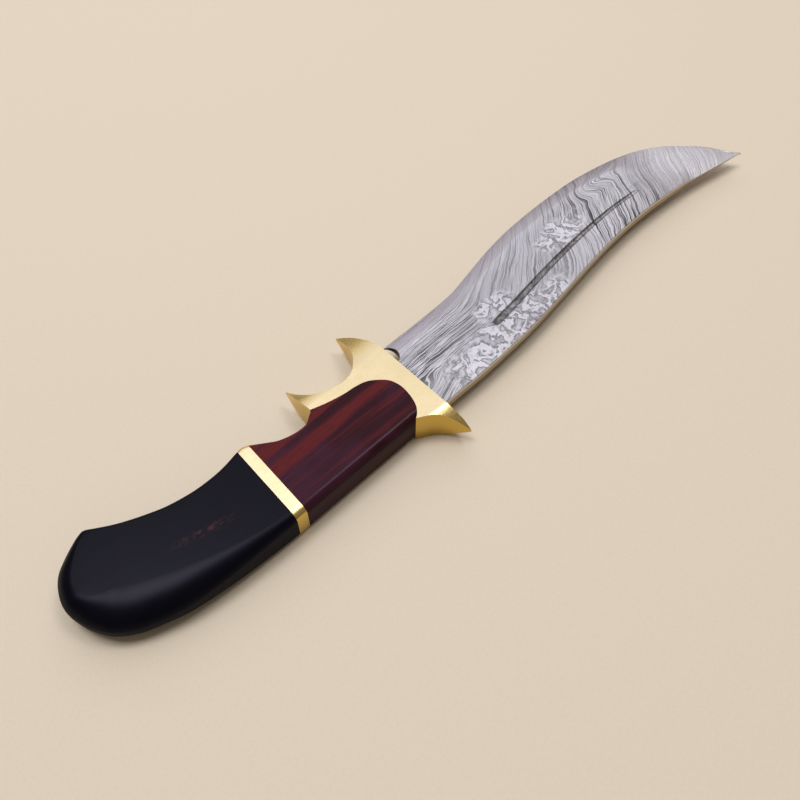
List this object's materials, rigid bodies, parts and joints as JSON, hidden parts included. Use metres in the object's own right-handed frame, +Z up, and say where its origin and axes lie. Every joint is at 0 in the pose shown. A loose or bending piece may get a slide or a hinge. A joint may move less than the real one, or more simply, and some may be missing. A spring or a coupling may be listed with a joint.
{
  "type": "fixed-blade hunting knife",
  "caption": "Fixed-blade knife with an upswept patterned-steel blade, a brass guard with a finger groove, a rosewood grip, a brass spacer and a hooked black horn butt.",
  "frame": {"origin": "on the guard's underside, midway along X between the guard's front face and the front of the grip, on the flat face that the knife lies on", "axes": "+X along the blade to its tip, +Y towards the cutting edge, +Z up out of the blade's left side"},
  "size_m": [0.3313, 0.0636, 0.0145],
  "materials": {
    "blade_steel": "pattern-welded steel, etched so that light and dark layers show, satin",
    "guard_brass": "satin brass, polished on its flat sides",
    "spacer_brass": "satin brass, flush with the grip and the butt",
    "rosewood": "polished dark red rosewood with grain along the handle",
    "horn": "polished black horn with a faint brown streak",
    "epoxy": "cured epoxy, out of sight inside the handle"
  },
  "bodies": {
    "root": {"blade": "blade_steel", "guard": "guard_brass", "grip": "rosewood", "grip_epoxy_bed": "epoxy", "spacer": "spacer_brass", "butt": "horn", "butt_epoxy_bed": "epoxy"}
  },
  "joints": []
}
